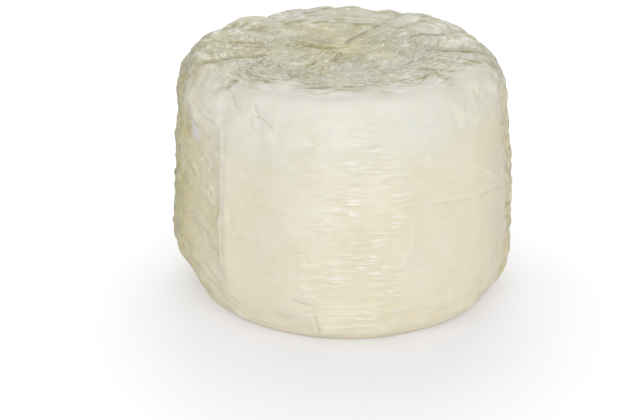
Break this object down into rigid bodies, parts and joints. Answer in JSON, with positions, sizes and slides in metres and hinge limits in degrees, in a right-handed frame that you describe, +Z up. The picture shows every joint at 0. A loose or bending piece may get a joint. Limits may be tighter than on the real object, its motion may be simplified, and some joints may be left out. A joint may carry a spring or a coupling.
{
  "type": "primo sale cheese",
  "caption": "Whole wheel of fresh white basket cheese with a woven-basket print: ribbed flat panels round the side, puffed lobes and a crease on the top; food to cut and serve.",
  "frame": {"origin": "middle of the wheel's box, on the flat that it stands on", "axes": "+Z up, -Y the front that the picture shows, +X to the right in the picture"},
  "size_m": [0.151, 0.1492, 0.1096],
  "materials": {
    "rind": "moist ivory-white fresh rind, satin with small damp glints, greyer and darker in the top's furrows"
  },
  "bodies": {
    "root": {"cheese": "rind"}
  },
  "joints": []
}
